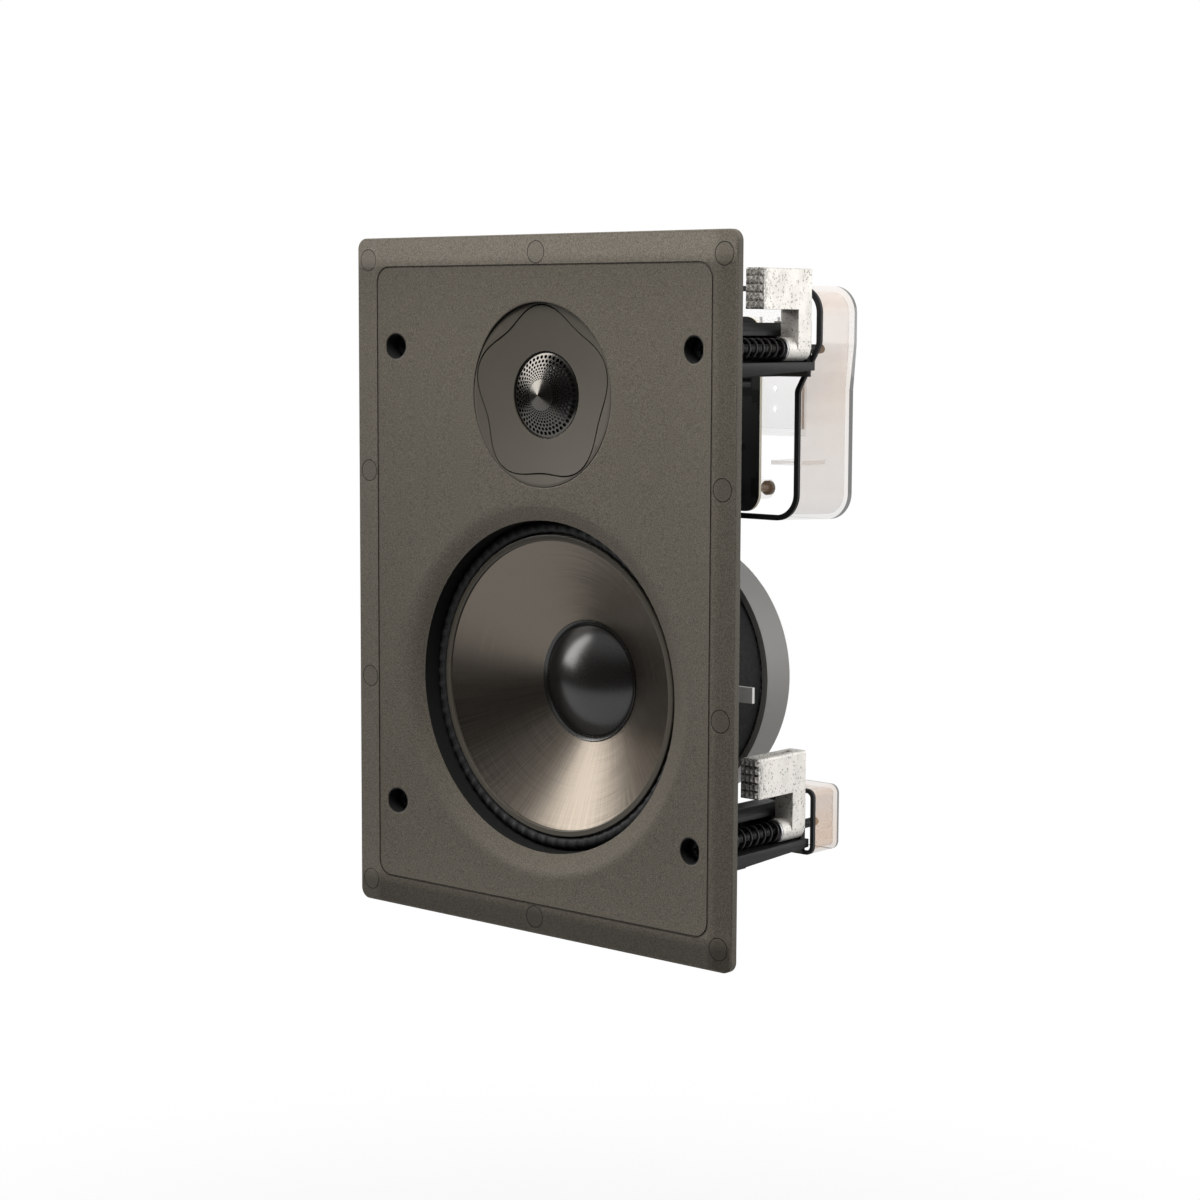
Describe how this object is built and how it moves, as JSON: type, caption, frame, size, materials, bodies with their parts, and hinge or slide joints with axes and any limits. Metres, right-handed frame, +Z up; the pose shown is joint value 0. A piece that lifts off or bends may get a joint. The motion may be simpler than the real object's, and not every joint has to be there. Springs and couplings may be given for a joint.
{
  "type": "in-wall speaker",
  "caption": "Two-way in-wall loudspeaker: flanged front frame, dog-leg wall clamps, metal-cone woofer, dome tweeter behind a perforated lens, and a crossover under a smoke-tinted rear tub.",
  "frame": {"origin": "centre of the wall cut-out, in the plane of the wall surface behind the flange", "axes": "-Y faces the room, +X is the viewer's right, +Z is up; the works reach back along +Y"},
  "size_m": [0.221, 0.1055, 0.308],
  "materials": {
    "baffle": "moulded plastic, fine grain, warm dark grey",
    "magnet_steel": "painted over with the plate",
    "bezel": "smooth satin plastic",
    "lens_metal": "spun and perforated, satin",
    "dome_metal": "drawn foil",
    "surround_rubber": "matte black",
    "copper": "enamelled copper wire",
    "plated_steel": "zinc plated",
    "ferrite": "black ferrite",
    "black_plastic": "moulded, matte black",
    "foam": "closed-cell foam, black",
    "basket_metal": "stamped steel, black",
    "screw_steel": "blackened steel",
    "trim": "satin plastic ring",
    "cone_metal": "radially brushed, bronze grey",
    "cap_plastic": "satin black",
    "former_metal": "foil",
    "spider_cloth": "resin-treated cloth",
    "motor_cover": "grey paint",
    "phenolic": "laminate strip with a white end",
    "smoky_plastic": "smoke-tinted clear plastic",
    "white_plastic": "white moulded plastic",
    "board": "black laminate with a pale cut edge",
    "capacitor_film": "film capacitors",
    "cement": "cement resistors",
    "red_plastic": "red moulded plastic",
    "button_black": "black moulded plastic",
    "cast_arm": "blasted die casting, light silver",
    "spring_steel": "blackened spring steel"
  },
  "bodies": {
    "frame": {"capacitors": "capacitor_film", "clamp_spring_lower_left": "spring_steel", "clamp_spring_lower_right": "spring_steel", "clamp_spring_upper_left": "spring_steel", "clamp_spring_upper_right": "spring_steel", "crossover_board": "board", "front_frame": "baffle", "grille_magnets": "magnet_steel", "inductors": "copper", "rear_tub": "smoky_plastic", "resistors": "cement", "tail_cap_gasket_left": "foam", "tail_cap_gasket_right": "foam", "tail_cap_left": "smoky_plastic", "tail_cap_right": "smoky_plastic", "terminal_block": "black_plastic", "tub_gasket": "foam", "tub_screws": "screw_steel", "tweeter_back_plate": "plated_steel", "tweeter_bezel": "bezel", "tweeter_chamber": "black_plastic", "tweeter_lens": "lens_metal", "tweeter_magnet": "ferrite", "tweeter_surround": "surround_rubber", "tweeter_top_plate": "plated_steel", "tweeter_waveguide": "bezel", "vent_panel": "white_plastic", "woofer_back_plate": "plated_steel", "woofer_basket": "basket_metal", "woofer_gasket": "foam", "woofer_magnet": "ferrite", "woofer_rear_cover": "motor_cover", "woofer_screws": "screw_steel", "woofer_spider": "spider_cloth", "woofer_surround": "surround_rubber", "woofer_terminal_strip": "phenolic", "woofer_top_plate": "plated_steel"},
    "screw_upper_right": {"clamp_screw_upper_right": "screw_steel"},
    "carriage_upper_right": {"clamp_washer_upper_right": "plated_steel"},
    "arm_upper_right": {"clamp_arm_upper_right": "cast_arm"},
    "screw_lower_right": {"clamp_screw_lower_right": "screw_steel"},
    "carriage_lower_right": {"clamp_washer_lower_right": "plated_steel"},
    "arm_lower_right": {"clamp_arm_lower_right": "cast_arm"},
    "screw_upper_left": {"clamp_screw_upper_left": "screw_steel"},
    "carriage_upper_left": {"clamp_washer_upper_left": "plated_steel"},
    "arm_upper_left": {"clamp_arm_upper_left": "cast_arm"},
    "screw_lower_left": {"clamp_screw_lower_left": "screw_steel"},
    "carriage_lower_left": {"clamp_washer_lower_left": "plated_steel"},
    "arm_lower_left": {"clamp_arm_lower_left": "cast_arm"},
    "cone": {"woofer_cone": "cone_metal", "cone_trim_ring": "trim", "dust_cap": "cap_plastic", "voice_coil_former": "former_metal", "voice_coil": "copper"},
    "dome": {"tweeter_dome": "dome_metal", "tweeter_coil": "copper"},
    "button_red": {"terminal_button_red": "red_plastic"},
    "button_black": {"terminal_button_black": "button_black"}
  },
  "joints": [
    {"name": "screw_turn_upper_right", "type": "hinge", "parent": "frame", "child": "screw_upper_right", "pos_m": [0.087, 0.06, 0.105], "axis": [0, 1, 0], "range_deg": [0, 6600]},
    {"name": "clamp_slide_upper_right", "type": "slide", "parent": "frame", "child": "carriage_upper_right", "axis": [0, -1, 0], "range_m": [0, 0.025], "deforming": ["clamp_spring_upper_right"]},
    {"name": "arm_swing_upper_right", "type": "hinge", "parent": "carriage_upper_right", "child": "arm_upper_right", "pos_m": [0.087, 0.06, 0.105], "axis": [0, 1, 0], "range_deg": [0, 90]},
    {"name": "screw_turn_lower_right", "type": "hinge", "parent": "frame", "child": "screw_lower_right", "pos_m": [0.087, 0.06, -0.105], "axis": [0, 1, 0], "range_deg": [0, 6600]},
    {"name": "clamp_slide_lower_right", "type": "slide", "parent": "frame", "child": "carriage_lower_right", "axis": [0, -1, 0], "range_m": [0, 0.025], "deforming": ["clamp_spring_lower_right"]},
    {"name": "arm_swing_lower_right", "type": "hinge", "parent": "carriage_lower_right", "child": "arm_lower_right", "pos_m": [0.087, 0.06, -0.105], "axis": [0, 1, 0], "range_deg": [0, 90]},
    {"name": "screw_turn_upper_left", "type": "hinge", "parent": "frame", "child": "screw_upper_left", "pos_m": [-0.087, 0.06, 0.105], "axis": [0, 1, 0], "range_deg": [0, 6600]},
    {"name": "clamp_slide_upper_left", "type": "slide", "parent": "frame", "child": "carriage_upper_left", "axis": [0, -1, 0], "range_m": [0, 0.025], "deforming": ["clamp_spring_upper_left"]},
    {"name": "arm_swing_upper_left", "type": "hinge", "parent": "carriage_upper_left", "child": "arm_upper_left", "pos_m": [-0.087, 0.06, 0.105], "axis": [0, 1, 0], "range_deg": [0, 90]},
    {"name": "screw_turn_lower_left", "type": "hinge", "parent": "frame", "child": "screw_lower_left", "pos_m": [-0.087, 0.06, -0.105], "axis": [0, 1, 0], "range_deg": [0, 6600]},
    {"name": "clamp_slide_lower_left", "type": "slide", "parent": "frame", "child": "carriage_lower_left", "axis": [0, -1, 0], "range_m": [0, 0.025], "deforming": ["clamp_spring_lower_left"]},
    {"name": "arm_swing_lower_left", "type": "hinge", "parent": "carriage_lower_left", "child": "arm_lower_left", "pos_m": [-0.087, 0.06, -0.105], "axis": [0, 1, 0], "range_deg": [0, 90]},
    {"name": "cone_travel", "type": "slide", "parent": "frame", "child": "cone", "axis": [0, -1, 0], "range_m": [-0.004, 0.004], "stiffness_N_per_m": 1200, "deforming": ["woofer_surround", "woofer_spider"]},
    {"name": "dome_travel", "type": "slide", "parent": "frame", "child": "dome", "axis": [0, -1, 0], "range_m": [-0.0003, 0.0003], "stiffness_N_per_m": 600, "deforming": ["tweeter_surround"]},
    {"name": "terminal_press_red", "type": "slide", "parent": "frame", "child": "button_red", "axis": [0, -1, 0], "range_m": [0, 0.0025], "stiffness_N_per_m": 600},
    {"name": "terminal_press_black", "type": "slide", "parent": "frame", "child": "button_black", "axis": [0, -1, 0], "range_m": [0, 0.0025], "stiffness_N_per_m": 600}
  ],
  "couplings": [
    {"joint": "screw_turn_upper_right", "follows": "clamp_slide_upper_right", "rad_per_m": 4488},
    {"joint": "screw_turn_lower_right", "follows": "clamp_slide_lower_right", "rad_per_m": 4488},
    {"joint": "screw_turn_upper_left", "follows": "clamp_slide_upper_left", "rad_per_m": 4488},
    {"joint": "screw_turn_lower_left", "follows": "clamp_slide_lower_left", "rad_per_m": 4488}
  ]
}
